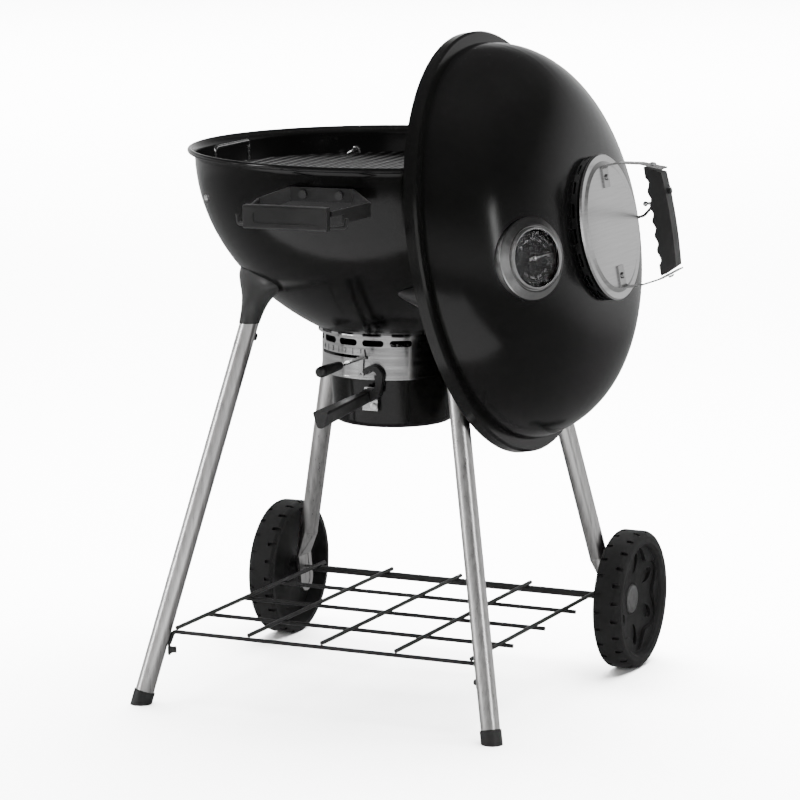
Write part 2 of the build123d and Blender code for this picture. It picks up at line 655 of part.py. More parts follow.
def make_tool_hooks():
    """Two small J hooks under the grip's ends."""
    hooks = []
    for side in (-1, 1):
        path = [(side * 52, -401.5, 703.8), (side * 60, -396.0, 703.8), (side * 75, -388.5, 703.8), (side * 76.5, -387.5, 716)]
        hooks.append(bent_rod(path, 5.6, 4))
    block = Pos(0, -407.5, HANDLE_GRIP_Z) * Box(HANDLE_GRIP_L + 0.2, 14.1, 31.6)
    return grouped([hook - block for hook in hooks], Rot(0, 0, HANDLE_BEARING))


def make_side_handle_bolts():
    bolts = []
    for side in (-1, 1):
        shank = rod((side * 26, -250, 731.8), (side * 26, -277.55, 731.8), 12)
        head = rod((side * 26, -280.65, 731.8), (side * 26, -284.1, 731.8), 11)
        bolts += [shank - Rot(0, 0, -HANDLE_BEARING) * inside_bowl(0.05), head]
    return grouped(bolts, Rot(0, 0, HANDLE_BEARING))


# ---------------------------------------------------------------- grates
def make_grate_supports():
    """Ledges on the bowl's wall: four for the cooking grate and four for the charcoal grate."""
    skin = inside_bowl(-SHEET - 0.05)
    core = inside_bowl(-SHEET - 2.05)
    tabs = []
    for top, reach, depth in ((GRATE_Z - 5.6, 16, 30), (COAL_GRATE_Z - 4.1, 22, 22)):
        wall = wall_radius(RIM_Z - top)
        flange = (skin - core) & box_between((wall - 40, -10, top - depth), (wall + 10, 10, top))
        ledge = skin & box_between((wall - reach, -10, top - 2), (wall + 10, 10, top))
        for i in range(4):
            tabs.append(Rot(0, 0, SUPPORT_BEARING + 90 * i) * (flange + ledge))
    return grouped(tabs)


def make_support_bolts():
    """Bolt heads outside the bowl that hold the cooking grate's ledges."""
    z = 706.5
    wall = wall_radius(RIM_Z - z)
    head = Pos(wall - 4, 0, z) * Rot(0, 90, 0) * turned([(0, 0), (5, 0), (5, 5.2), (3.6, 6.8), (0, 7.4)])
    head -= inside_bowl(0.05)
    return grouped([Rot(0, 0, SUPPORT_BEARING + 90 * i) * head for i in range(4)])


def chord(offset, radius):
    return sqrt(radius * radius - offset * offset)


def grate_hoop(start, end, radius, minor, z):
    """A round edge wire between two bearings."""
    section = Plane(origin=(radius, 0, z), z_dir=(0, -1, 0)) * Circle(minor)
    return Rot(0, 0, start) * revolve(section, Axis.Z, revolution_arc=end - start)


def inside_hoop(bar, radius):
    """A bar cut off where it meets the hoop's inner side."""
    return bar & at_floor_of(radius, 400, 400)


def grate_rods(first, last):
    """Rods laid side by side, from one rod number to another. They touch what they are welded to."""
    rods = []
    for i in range(first, last + 1):
        x = GRATE_PITCH * i
        rods.append(inside_hoop(rod((x, -300, GRATE_Z), (x, 300, GRATE_Z), GRATE_ROD), GRATE_R - HOOP_R))
    return rods


def grate_bars(low, high):
    """Cross bars under the rods, between two lines."""
    z = GRATE_Z - GRATE_ROD / 2 - BAR_D / 2
    return [inside_hoop(rod((low, y, z), (high, y, z), BAR_D), GRATE_R - HOOP_R) for y in GRATE_BARS]


def make_cooking_grate():
    """The fixed middle of the grate. Each wire stays a solid of its own."""
    last = int(GRATE_SPLIT / GRATE_PITCH)
    half = degrees(atan2(GRATE_SPLIT, chord(GRATE_SPLIT, GRATE_R)))
    hoops = [grate_hoop(b - half, b + half, GRATE_R, HOOP_R, GRATE_Z - 2) for b in (90, 270)]
    return grouped(hoops + grate_rods(-last, last) + grate_bars(-GRATE_SPLIT, GRATE_SPLIT))


def make_grate_loops():
    """Wire rings on the middle piece that carry the flaps' hinge pins."""
    wire = 1.75
    loops = []
    for side in (-1, 1):
        for end in (-1, 1):
            centre = (side * HINGE[0], end * HINGE[1], HINGE[2])
            loop = Pos(*centre) * Rot(90, 0, 0) * Torus(PIN_R + FIT + wire, wire)
            inner = side * (HINGE[0] - 5.2)
            loop += rod((inner, centre[1], HINGE[2] - 1), (inner - side * 0.8, centre[1], GRATE_Z + 2), 3)
            rest = side * GRATE_PITCH * int(GRATE_SPLIT / GRATE_PITCH)
            loops.append(loop - rod((rest, -300, GRATE_Z), (rest, 300, GRATE_Z), GRATE_ROD + 0.04))
    return grouped(loops)


def make_grate_flap(side):
    """One side of the grate (-1 left, 1 right), with its two hinge pins on the first rod."""
    first = int(FLAP_START / GRATE_PITCH) + 1
    last = int(GRATE_R / GRATE_PITCH)
    rods = grate_rods(first, last) if side > 0 else grate_rods(-last, -first)[::-1]
    for end in (-1, 1):
        x, y, z = side * HINGE[0], end * HINGE[1], HINGE[2]
        rods[0] += rod((x, y - end * 13, z), (x, y + end * 5, z), 2 * PIN_R)
        rods[0] += rod((x, y - end * 11, z), (side * first * GRATE_PITCH, y - end * 11, GRATE_Z + 1), 4.4)
    half = degrees(atan2(chord(FLAP_START, GRATE_R), FLAP_START))
    middle = 0 if side > 0 else 180
    hoop = grate_hoop(middle - half, middle + half, GRATE_R, HOOP_R, GRATE_Z - 2)
    bars = grate_bars(FLAP_START, 300) if side > 0 else grate_bars(-300, -FLAP_START)
    return grouped(rods + bars + [hoop])


def make_grate_handle(side):
    """A wire bail that stands on a flap's two middle cross bars."""
    low = GRATE_Z - GRATE_ROD / 2
    top = GRATE_Z + 31
    x = side * BAIL_X
    back, front = GRATE_BARS[2], GRATE_BARS[1]
    return bent_rod([(x, front, low), (x, front, top), (x, back, top), (x, back, low)], 5, 6)


def make_charcoal_grate():
    """A plain round grate. Each wire stays a solid of its own."""
    wires = [grate_hoop(0, 360, COAL_GRATE_R, 4, COAL_GRATE_Z)]
    pitch = 22.5
    for i in range(-8, 9):
        bar = rod((pitch * i, -260, COAL_GRATE_Z + 1), (pitch * i, 260, COAL_GRATE_Z + 1), 6)
        wires.append(inside_hoop(bar, COAL_GRATE_R - 4))
    for y in (-90, 90):
        bar = rod((-260, y, COAL_GRATE_Z - 4.5), (260, y, COAL_GRATE_Z - 4.5), 5)
        wires.append(inside_hoop(bar, COAL_GRATE_R - 4))
    return grouped(wires)


# ---------------------------------------------------------------- lid, in its own frame
# Lid frame: origin in the middle of the rim plane, +X up, +Y to the front, +Z out through the crown.
LID_FRAME = Plane(
    origin=LID_CENTRE,
    x_dir=(-sin(radians(LID_TILT)), 0, cos(radians(LID_TILT))),
    z_dir=(cos(radians(LID_TILT)), 0, sin(radians(LID_TILT))),
)


def dome_radius(height):
    return DOME_R * (1 - ((height - LID_SKIRT) / DOME_H) ** DOME_N) ** (1 / DOME_M)


def dome_height(radius):
    return LID_SKIRT + DOME_H * (1 - (radius / DOME_R) ** DOME_M) ** (1 / DOME_N)


def dome_normal(radius):
    """Radial and axial parts of the dome's outward normal."""
    step = 0.05
    slope = (dome_height(radius + step) - dome_height(radius - step)) / (2 * step)
    length = hypot(1, slope)
    return -slope / length, 1 / length


def dome_half(offset, bottom):
    """Half section of everything under the dome's skin, moved out by offset."""
    radii = [DOME_R * s for s in (0.0, 0.12, 0.25, 0.4, 0.55, 0.68, 0.79, 0.87, 0.93, 0.965, 0.985)]
    points = []
    for radius in radii:
        out, up = dome_normal(radius) if radius > 1 else (0.0, 1.0)
        points.append((radius + offset * out, 0, dome_height(radius) + offset * up))
    points.append((DOME_R + offset, 0, LID_SKIRT + 4))
    skin = Spline(*points, tangents=((1, 0, 0), (0, 0, -1)))
    foot = Polyline(points[-1], (DOME_R + offset, 0, bottom), (0, 0, bottom), points[0])
    return make_face(Curve() + [skin, foot])


def under_dome(offset, bottom=LID_SKIRT):
    return revolve(dome_half(offset, bottom), Axis.Z)


GAUGE_HEIGHT = dome_height(GAUGE_RADIUS)
GAUGE_NORMAL = dome_normal(GAUGE_RADIUS)
GAUGE_OUT = Vector(cos(radians(GAUGE_BEARING)), sin(radians(GAUGE_BEARING)), 0)
GAUGE_PLACE = Plane(
    origin=GAUGE_OUT * GAUGE_RADIUS + Vector(0, 0, GAUGE_HEIGHT),
    x_dir=Vector(0, 0, 1).cross(GAUGE_OUT),
    z_dir=GAUGE_OUT * GAUGE_NORMAL[0] + Vector(0, 0, GAUGE_NORMAL[1]),
).location


def make_lid_shell():
    """Skirt, step and dome, with three smoke holes and the gauge's hole."""
    dome = dome_half(0, LID_SKIRT) - dome_half(-SHEET, LID_SKIRT - 5)
    skirt = make_face(
        Polyline(
            (LID_R, 0, 0), (LID_R, 0, LID_SKIRT), (LID_R - 3, 0, LID_SKIRT + 3.2), (DOME_R - 1, 0, LID_SKIRT + 4.4),
            (DOME_R - 1, 0, LID_SKIRT + 2.2), (LID_R - 4, 0, LID_SKIRT + 1.2), (LID_R - SHEET, 0, LID_SKIRT - 1),
            (LID_R - SHEET, 0, 0), close=True,
        )
    )
    low_dome = make_face(
        Polyline((DOME_R - 20, 0, 0), (DOME_R + 1, 0, 0), (DOME_R + 1, 0, LID_SKIRT + 2.2), (DOME_R - 20, 0, LID_SKIRT + 2.2), close=True)
    )
    roll = Plane(origin=(LID_R - 1.6, 0, 1.6), z_dir=(0, -1, 0)) * Circle(1.6)
    lid = turned_faces(dome - low_dome, skirt, roll)
    for i in range(3):
        lid -= Rot(0, 0, 120 * i + 60) * Pos(48, 0, 150) * Cylinder(17, 30)
    return lid - GAUGE_PLACE * Cylinder(5.2, 40)


def make_vent_housing():
    """A black stepped cover over the smoke holes, open at its side, that carries the shield."""
    cover = turned([(60, 161.6), (97, 161.6), (97, 140), (99.5, 140), (99.5, 162.6), (98, 163.8), (84, 163.8)]
                   + [(84, 169.6), (60, 169.6)])
    for i in range(18):
        cover -= Rot(0, 0, 20 * i + 10) * Pos(98, 0, 158.6) * Box(12, 20, 3.6)
    cover -= sector(90, 110, -90 - 32, -90 + 32, 157.2, 161.6)
    return cover - under_dome(0.05, 100)


def make_lid_damper():
    """A turning plate over the smoke holes, with the wire lever that reaches under the grip."""
    plate = at_floor_of(74, 1.6, 158.9)
    for i in range(3):
        plate -= Rot(0, 0, 120 * i) * Pos(48, 0, 159) * Cylinder(17, 8)
    plate += box_between((-6, -106, 159.0), (6, -60, 160.6))
    wire = [(0, -104.5, 160), (2, -106.5, 178), (18, -60, 214), (24, -8, 229), (25, 6, 229)]
    lever = bent_rod(wire, 4.0, 8)
    knob = Pos(25, 7, 229) * Sphere(3.6)
    return plate + lever + knob - at_floor_of(4 + FIT, 10, 155)


def make_damper_rivet():
    shank = at_floor_of(4, 4.4, 157.95 + 0.1)
    head = at_floor_of(8, 1.2, 160.9) + shank
    return head


def make_heat_shield():
    """A brushed disc with a raised middle and a plain border."""
    top = SHIELD_Z
    return turned(
        [(0, top - 1.4), (84, top - 1.4), (90, top - 3.8), (98.5, top - 3.8), (SHIELD_R - 1.2, top - 5.4)]
        + [(SHIELD_R, top - 5.0), (99.2, top - 2.4), (90.6, top - 2.4), (84.6, top), (0, top)]
    )


def make_lid_strap(side):
    """A bent flat strap from a screwed foot on the shield to one end of the grip."""
    foot_z = SHIELD_Z + STRAP_T / 2 + 0.05
    line = [(54, foot_z), (84, foot_z), (85, 200), (80, 230), (69, 262)]
    path = FilletPolyline(*[(side * x, 0, z) for x, z in line], radius=5)
    section = Plane(origin=path @ 0, x_dir=(0, 1, 0), z_dir=path % 0) * Rectangle(STRAP_W, STRAP_T)
    return sweep(section, path=path)


def make_lid_grip():
    """A contoured grip between the straps: waved finger side inwards, small knob outside."""
    waves = [(-60 + 10 * i, 0, GRIP_LOW + 1.6 * (1 - cos(pi * i))) for i in range(13)]
    inner = Spline(*waves)
    low_end, high_end = waves[0], waves[-1]
    outer = ThreePointArc((64, 0, GRIP_HIGH - 3), (0, 0, GRIP_HIGH), (-64, 0, GRIP_HIGH - 3))
    face = make_face(
        Curve()
        + [
            inner,
            Polyline(high_end, (75, 0, GRIP_LOW), (64, 0, GRIP_HIGH - 3)),
            outer,
            Polyline((-64, 0, GRIP_HIGH - 3), (-75, 0, GRIP_LOW), low_end),
        ]
    )
    grip = extrude(face, 11, dir=(0, 1, 0)) + extrude(face, 11, dir=(0, -1, 0))
    for side in (-1, 1):
        grip -= side_cut(side)
    grip += Pos(38, 0, GRIP_HIGH - 4) * at_floor_of(4.2, 7.5)
    return grip


def side_cut(side):
    """Trims a grip end back to the inner face of its strap."""
    line = [(80 - 1.25, 230), (69 - 1.3, 262), (66.2, 270), (120, 270), (120, 225), (81.4 - 1.25, 222)]
    return upright_plate([(side * x, z) for x, z in line], -20, 20)


def make_lid_handle_screws():
    """Pan-head screws in the straps' feet and ends."""
    head = turned([(0, 0), (4.4, 0), (4.2, 1.6), (2.6, 2.5), (0, 2.7)])
    screws = []
    for side in (-1, 1):
        screws.append(Pos(side * 68, 0, SHIELD_Z + STRAP_T + 0.1) * head)
        lean = degrees(atan2(80 - 69, 32))
        screws.append(Pos(side * (75.5 + 1.2), 0, 246.4) * Rot(0, side * (90 - lean), 0) * head)
    return grouped(screws, LID_FRAME.location)


def make_lid_hook():
    """A strip inside the lid that hangs over the bowl's bead. Modelled in the grill's frame."""
    outline = [(300, 775.4), (271.4, 775.4), (269.0, 773.0), (269.0, 762.8), (271.8, 762.8), (273.2, 769.9), (300, 769.9)]
    lip = upright_plate(outline, -20, 20)
    riser = upright_plate([(283, 773), (300, 773), (292, 812), (277, 812)], -20, 20)
    inner = LID_FRAME.location * under_dome(-SHEET - 0.05, 0)
    deep = LID_FRAME.location * under_dome(-SHEET - 3.0, 0)
    return (lip & inner) + (riser & (inner - deep))


# ---------------------------------------------------------------- lid gauge, in its own frame
def make_gauge_bezel():
    """A broad bright cone with a raised ring round the glass."""
    body = turned(
        [(41.6, -14), (GAUGE_R, -14), (GAUGE_R, 1.4), (GAUGE_R - 1.2, 2.6), (45.5, 8.6), (43.2, 7.4), (42.2, 7.4)]
        + [(41.6, 11.2), (40.6, 12.0), (39.0, 12.0), (38.6, 11.4), (38.6, 10.2), (41.0, 10.2), (41.0, 3.0), (6.0, 3.0)]
        + [(6.0, 0.6), (41.6, 0.6)]
    )
    return LID_FRAME.location * ((GAUGE_PLACE * body) - under_dome(0.05, 60))


def make_gauge_dial():
    dial = ring(40.6, 1.7, 1.2, 3.4)
    return LID_FRAME.location * GAUGE_PLACE * dial


def make_gauge_needle():
    """A slim pointer on a boss that turns over the dial."""
    arm = make_face(Polyline((-2.2, -9), (2.2, -9), (1.5, 4), (0.35, 30), (-0.35, 30), (-1.5, 4), close=True))
    needle = Pos(0, 0, 6.4) * extrude(arm, 0.7)
    needle += at_floor_of(3.4, 2.2, 6.0)
    return LID_FRAME.location * GAUGE_PLACE * Rot(0, 0, NEEDLE_REST) * (needle - at_floor_of(1.2 + FIT, 10, 4))


NEEDLE_REST = 0.0


def make_gauge_lens():
    return LID_FRAME.location * GAUGE_PLACE * at_floor_of(GAUGE_LENS_R, 1.4, 9.6 + 0.5)


def make_gauge_probe():
    """Threaded stem, nut inside the lid, probe and the pin that carries the needle."""
    stem = at_floor_of(5.0, 32, -29.5) + at_floor_of(3.0, 30, -59)
    nut = at_floor_of(10.5, 4, -13) & extrude(Pos(0, 0, -14) * RegularPolygon(10.5, 6), 6)
    pin = at_floor_of(1.2, 6.2, 2.4)
    washer = at_floor_of(9, 3.0, -9) & at_floor_of(9, 6, -11)
    probe = stem + nut + washer + pin
    place = LID_FRAME.location * GAUGE_PLACE
    return place * probe


# ---------------------------------------------------------------- all pieces
def main():
    os.makedirs("parts", exist_ok=True)
    lid = LID_FRAME.location
    write("bowl", make_bowl())
    for side, word in ((-1, "left"), (1, "right")):
        write(f"leg_front_{word}", make_front_leg(side))
        write(f"leg_rear_{word}", make_rear_leg(side))
        write(f"leg_socket_front_{word}", make_socket(side, False))
        write(f"leg_socket_rear_{word}", make_socket(side, True))
        write(f"foot_cap_{word}", make_foot_cap(side))
        write(f"wheel_{word}", wheel_place(side) * wheel_body())
        write(f"hub_cap_{word}", wheel_place(side) * hub_cap_body())
    write("leg_bolts", make_leg_bolts())
    write("shelf", make_shelf())
    write("shelf_bolts", make_shelf_bolts())
    write("axle", make_axle())
    write("axle_washers", make_axle_washers())
    write("axle_nuts", make_axle_nuts())

    write("vent_collar", make_vent_collar())
    write("collar_screws", make_collar_screws())
    write("vent_shaft", make_vent_shaft())
    write("vent_blades", make_vent_blades())
    write("vent_lever", make_vent_lever())
    write("vent_lever_grip", make_vent_lever_grip())
    write("ash_bucket", make_ash_bucket())
    write("bucket_bracket", make_bucket_bracket())
    write("bucket_rivet", make_bucket_rivets())
    write("bucket_handle", make_bucket_handle())
    write("bucket_handle_pin", make_handle_pin())

    write("side_handle_bar", make_side_handle_bar())
    write("side_handle_grip", make_side_handle_grip())
    write("tool_hooks", make_tool_hooks())
    write("side_handle_bolts", make_side_handle_bolts())

    write("grate_supports", make_grate_supports())
    write("support_bolts", make_support_bolts())
    write("cooking_grate", make_cooking_grate())
    write("grate_hinge_loops", make_grate_loops())
    for side, word in ((-1, "left"), (1, "right")):
        write(f"grate_flap_{word}", make_grate_flap(side))
        write(f"grate_handle_{word}", make_grate_handle(side))
    write("charcoal_grate", make_charcoal_grate())

    write("lid_shell", lid * make_lid_shell())
    write("lid_hook", make_lid_hook())
    write("lid_vent_housing", lid * make_vent_housing())
    write("lid_damper", lid * make_lid_damper())
    write("damper_rivet", lid * make_damper_rivet())
    write("heat_shield", lid * make_heat_shield())
    write("lid_strap_top", lid * make_lid_strap(1))
    write("lid_strap_bottom", lid * make_lid_strap(-1))
    write("lid_grip", lid * make_lid_grip())
    write("lid_handle_screws", make_lid_handle_screws())
    write("gauge_bezel", make_gauge_bezel())
    write("gauge_dial", make_gauge_dial())
    write("gauge_needle", make_gauge_needle())
    write("gauge_lens", make_gauge_lens())
    write("gauge_probe", make_gauge_probe())


main()
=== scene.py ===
import json
from math import cos, pi, radians, sin

import bpy
from mathutils import Matrix, Vector


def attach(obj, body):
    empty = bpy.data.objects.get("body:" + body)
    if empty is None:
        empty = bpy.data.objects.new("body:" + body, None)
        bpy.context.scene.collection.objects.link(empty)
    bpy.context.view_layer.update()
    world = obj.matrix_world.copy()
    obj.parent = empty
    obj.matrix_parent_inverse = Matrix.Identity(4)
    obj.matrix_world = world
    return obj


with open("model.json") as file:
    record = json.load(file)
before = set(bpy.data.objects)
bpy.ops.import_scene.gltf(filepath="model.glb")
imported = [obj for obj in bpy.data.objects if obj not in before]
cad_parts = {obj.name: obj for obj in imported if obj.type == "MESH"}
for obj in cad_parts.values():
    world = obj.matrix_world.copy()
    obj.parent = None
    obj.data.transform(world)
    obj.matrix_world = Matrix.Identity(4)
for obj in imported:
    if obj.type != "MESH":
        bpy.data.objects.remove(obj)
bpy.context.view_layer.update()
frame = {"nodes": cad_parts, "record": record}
nodes = frame["nodes"]
scene = bpy.context.scene

# ---------------------------------------------------------------- camera
LENS_MM = 174.14
CAMERA_AT = (2.27024, -4.89691, 1.34838)
YAW, PITCH, ROLL = 24.7812, -9.8848, -0.143


def add_camera():
    data = bpy.data.cameras.new("camera")
    data.lens = LENS_MM
    data.sensor_width = 36.0
    data.clip_end = 200.0
    camera = bpy.data.objects.new("camera", data)
    turn = Matrix.Rotation(radians(YAW), 4, "Z") @ Matrix.Rotation(radians(90 + PITCH), 4, "X")
    camera.matrix_world = Matrix.Translation(CAMERA_AT) @ turn @ Matrix.Rotation(radians(ROLL), 4, "Z")
    scene.collection.objects.link(camera)
    scene.camera = camera


# ---------------------------------------------------------------- materials
class Look:
    """Builds one node material step by step."""

    def __init__(self, name):
        self.material = bpy.data.materials.new(name)
        self.material.use_nodes = True
        self.tree = self.material.node_tree
        self.shader = self.tree.nodes["Principled BSDF"]
        self.coords = self.tree.nodes.new("ShaderNodeTexCoord")

    def set(self, **values):
        for key, value in values.items():
            self.shader.inputs[key.replace("_", " ")].default_value = value
        return self

    def link(self, a, b):
        self.tree.links.new(a, b)

    def noise(self, scale, stretch=(1, 1, 1), detail=4.0, rough=0.55):
        """Noise over the object's own coordinates, stretched along each axis."""
        mapping = self.tree.nodes.new("ShaderNodeMapping")
        mapping.inputs["Scale"].default_value = stretch
        self.link(self.coords.outputs["Object"], mapping.inputs["Vector"])
        noise = self.tree.nodes.new("ShaderNodeTexNoise")
        noise.inputs["Scale"].default_value = scale
        noise.inputs["Detail"].default_value = detail
        noise.inputs["Roughness"].default_value = rough
        self.link(mapping.outputs["Vector"], noise.inputs["Vector"])
        return noise.outputs["Fac"]

    def ranged(self, source, low, high, start=0.3, end=0.7):
        node = self.tree.nodes.new("ShaderNodeMapRange")
        for key, value in (("From Min", start), ("From Max", end), ("To Min", low), ("To Max", high)):
            node.inputs[key].default_value = value
        self.link(source, node.inputs["Value"])
        return node.outputs["Result"]

    def vary_rough(self, source, low, high):
        self.link(self.ranged(source, low, high), self.shader.inputs["Roughness"])
        return self

    def vary_color(self, source, dark, light, start=0.3, end=0.7):
        ramp = self.tree.nodes.new("ShaderNodeValToRGB")
        ramp.color_ramp.elements[0].position = start
        ramp.color_ramp.elements[1].position = end
        ramp.color_ramp.elements[0].color = (*dark, 1)
        ramp.color_ramp.elements[1].color = (*light, 1)
        self.link(source, ramp.inputs["Fac"])
        self.link(ramp.outputs["Color"], self.shader.inputs["Base Color"])
        return self

    def bump(self, source, strength, distance):
        node = self.tree.nodes.new("ShaderNodeBump")
        node.inputs["Strength"].default_value = strength
        node.inputs["Distance"].default_value = distance
        self.link(source, node.inputs["Height"])
        self.link(node.outputs["Normal"], self.shader.inputs["Normal"])
        return self


def grey(value, tint=0.0):
    return (value * (1 + tint), value, value * (1 - tint))


def enamel(name, low, high):
    look = Look(name).set(Specular_IOR_Level=0.16, Coat_Weight=0.0)
    look.vary_color(look.noise(5.0), grey(0.0009), grey(0.0016), 0.35, 0.65)
    look.vary_rough(look.noise(9.0, detail=6.0), low, high)
    return look.bump(look.noise(420.0, detail=2.0), 0.06, 0.0003).material


def brushed(name, dark, light, low, high, stretch, grain=60.0, metallic=1.0, depth=0.12):
    look = Look(name).set(Metallic=metallic)
    grain_noise = look.noise(grain, stretch, 5.0, 0.65)
    look.vary_color(grain_noise, dark, light)
    look.vary_rough(grain_noise, low, high)
    return look.bump(grain_noise, depth, 0.0004).material


def plastic(name, dark, light, low, high, grain=700.0, depth=0.25, spec=0.4):
    look = Look(name).set(Specular_IOR_Level=spec)
    look.vary_color(look.noise(14.0), dark, light)
    look.vary_rough(look.noise(35.0), low, high)
    return look.bump(look.noise(grain, detail=3.0), depth, 0.0004).material


def glass(name):
    look = Look(name).set(Transmission_Weight=1.0, IOR=1.06, Specular_IOR_Level=0.2)
    look.vary_rough(look.noise(30.0), 0.02, 0.05)
    look.shader.inputs["Base Color"].default_value = (0.96, 0.96, 0.97, 1)
    return look.material


LOOKS = {
    "enamel": enamel("black_enamel", 0.12, 0.19),
    "enamel_lid": enamel("lid_enamel", 0.14, 0.22),
    "enamel_bucket": enamel("bucket_enamel", 0.12, 0.18),
    "leg": brushed("leg_steel", grey(0.33, 0.01), grey(0.52, 0.01), 0.26, 0.36, (1, 1, 0.03), 220.0),
    "socket": plastic("socket_black", grey(0.005), grey(0.008), 0.36, 0.46, 700.0, 0.2, 0.22),
    "foot": plastic("foot_black", grey(0.005), grey(0.008), 0.42, 0.55, 700.0, 0.25, 0.2),
    "dark_bolt": plastic("black_bolt", grey(0.006), grey(0.010), 0.35, 0.5, 900.0, 0.2, 0.25),
    "bright_bolt": brushed("zinc_bolt", grey(0.30), grey(0.48), 0.25, 0.4, (1, 1, 1), 180.0),
    "black_wire": plastic("coated_wire", grey(0.003), grey(0.006), 0.35, 0.48, 500.0, 0.2, 0.2),
    "housing": plastic("housing_black", grey(0.002), grey(0.004), 0.30, 0.42, 500.0, 0.2, 0.1),
    "axle": brushed("axle_steel", grey(0.25), grey(0.38), 0.3, 0.42, (0.05, 1, 1), 200.0),
    "wheel": plastic("wheel_grey", grey(0.0022), grey(0.0042), 0.55, 0.70, 500.0, 0.3, 0.2),
    "hub": plastic("hub_grey", grey(0.012), grey(0.019), 0.38, 0.5, 700.0, 0.2, 0.3),
    "collar": brushed("collar_steel", grey(0.38), grey(0.52), 0.14, 0.24, (0.05, 0.05, 1), 160.0, 1.0, 0.06),
    "damper": brushed("damper_steel", grey(0.30), grey(0.44), 0.28, 0.42, (0.3, 0.3, 1), 140.0),
    "grip": plastic("grip_black", grey(0.0035), grey(0.006), 0.36, 0.48, 800.0, 0.2, 0.22),
    "chrome": brushed("grate_chrome", grey(0.36), grey(0.52), 0.16, 0.28, (1, 0.1, 1), 160.0, 1.0, 0.05),
    "coal": brushed("grate_steel", grey(0.16), grey(0.26), 0.35, 0.5, (1, 0.1, 1), 160.0),
    "shield": brushed("shield_steel", grey(0.46), grey(0.62), 0.30, 0.40, (1, 0.04, 1), 260.0, 1.0, 0.08),
    "strap": brushed("strap_steel", grey(0.26), grey(0.40), 0.2, 0.32, (1, 0.3, 0.05), 200.0),
    "bezel": brushed("bezel_silver", grey(0.24), grey(0.31), 0.28, 0.38, (1, 1, 1), 90.0, 1.0, 0.05),
    "dial": plastic("dial_black", grey(0.004), grey(0.007), 0.45, 0.55, 900.0, 0.1, 0.1),
    "print": plastic("dial_print", grey(0.055), grey(0.085), 0.5, 0.6, 500.0, 0.05, 0.2),
    "collar_print": plastic("collar_ink", grey(0.008), grey(0.014), 0.4, 0.5, 500.0, 0.05, 0.2),
    "needle": plastic("needle_grey", grey(0.05), grey(0.08), 0.4, 0.5, 500.0, 0.05, 0.2),
    "glass": glass("gauge_glass"),
}

NODE_LOOK = {
    "bowl": "enamel", "lid_shell": "enamel_lid", "ash_bucket": "enamel_bucket",
    "leg_front_left": "leg", "leg_front_right": "leg", "leg_rear_left": "leg", "leg_rear_right": "leg",
    "leg_socket_front_left": "socket", "leg_socket_front_right": "socket",
    "leg_socket_rear_left": "socket", "leg_socket_rear_right": "socket",
    "foot_cap_left": "foot", "foot_cap_right": "foot",
    "leg_bolts": "dark_bolt", "shelf_bolts": "dark_bolt", "support_bolts": "bright_bolt",
    "side_handle_bolts": "dark_bolt", "axle_nuts": "dark_bolt", "axle_washers": "dark_bolt",
    "damper_rivet": "bright_bolt", "collar_screws": "bright_bolt", "bucket_rivet": "bright_bolt",
    "bucket_handle_pin": "bright_bolt", "lid_handle_screws": "bright_bolt",
    "shelf": "black_wire", "tool_hooks": "black_wire", "side_handle_bar": "black_wire",
    "lid_vent_housing": "housing", "axle": "axle", "wheel_left": "wheel", "wheel_right": "wheel",
    "hub_cap_left": "hub", "hub_cap_right": "hub", "vent_collar": "collar", "bucket_bracket": "collar",
    "vent_blades": "damper", "vent_shaft": "damper", "vent_lever": "strap", "grate_supports": "damper",
    "lid_damper": "strap", "lid_hook": "damper", "gauge_probe": "damper",
    "lid_strap_top": "strap", "lid_strap_bottom": "strap",
    "vent_lever_grip": "grip", "bucket_handle": "grip", "side_handle_grip": "grip", "lid_grip": "grip",
    "cooking_grate": "chrome", "grate_hinge_loops": "chrome", "grate_flap_left": "chrome",
    "grate_flap_right": "chrome", "grate_handle_left": "chrome", "grate_handle_right": "chrome",
    "charcoal_grate": "coal", "heat_shield": "shield", "gauge_bezel": "bezel", "gauge_dial": "dial",
    "gauge_needle": "needle", "gauge_lens": "glass",
}

BEVELS = {
    "side_handle_grip": 0.0006, "bucket_handle": 0.0012, "lid_grip": 0.0022, "side_handle_bar": 0.0005,
    "bucket_bracket": 0.0003, "vent_lever_grip": 0.0006, "heat_shield": 0.0006, "lid_vent_housing": 0.0004,
}


def dress_nodes():
    for name, obj in nodes.items():
        material = LOOKS[NODE_LOOK[name]]
        if not obj.material_slots:
            obj.data.materials.append(material)
        for slot in obj.material_slots:
            slot.material = material
        if name in BEVELS:
            bevel = obj.modifiers.new("edge", "BEVEL")
            bevel.width = BEVELS[name]
            bevel.segments = 3
            bevel.limit_method = "ANGLE"
            bevel.angle_limit = radians(35)
            bevel.harden_normals = False


# ---------------------------------------------------------------- printed marks
def joint(name):
    return next(j for j in frame["record"]["behaviour"]["joints"] if j["name"] == name)


def mesh_piece(name, objects, look, body):
    """Joins temporary objects into one mesh piece that rides on a body."""
    bpy.context.view_layer.update()
    depsgraph = bpy.context.evaluated_depsgraph_get()
    vertices, faces = [], []
    for obj in objects:
        mesh = bpy.data.meshes.new_from_object(obj.evaluated_get(depsgraph))
        start = len(vertices)
        vertices += [obj.matrix_world @ v.co for v in mesh.vertices]
        faces += [[start + i for i in face.vertices] for face in mesh.polygons]
        bpy.data.meshes.remove(mesh)
        bpy.data.objects.remove(obj)
    data = bpy.data.meshes.new(name)
    data.from_pydata([tuple(v) for v in vertices], [], faces)
    data.materials.append(LOOKS[look])
    piece = bpy.data.objects.new(name, data)
    scene.collection.objects.link(piece)
    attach(piece, body)
    return piece


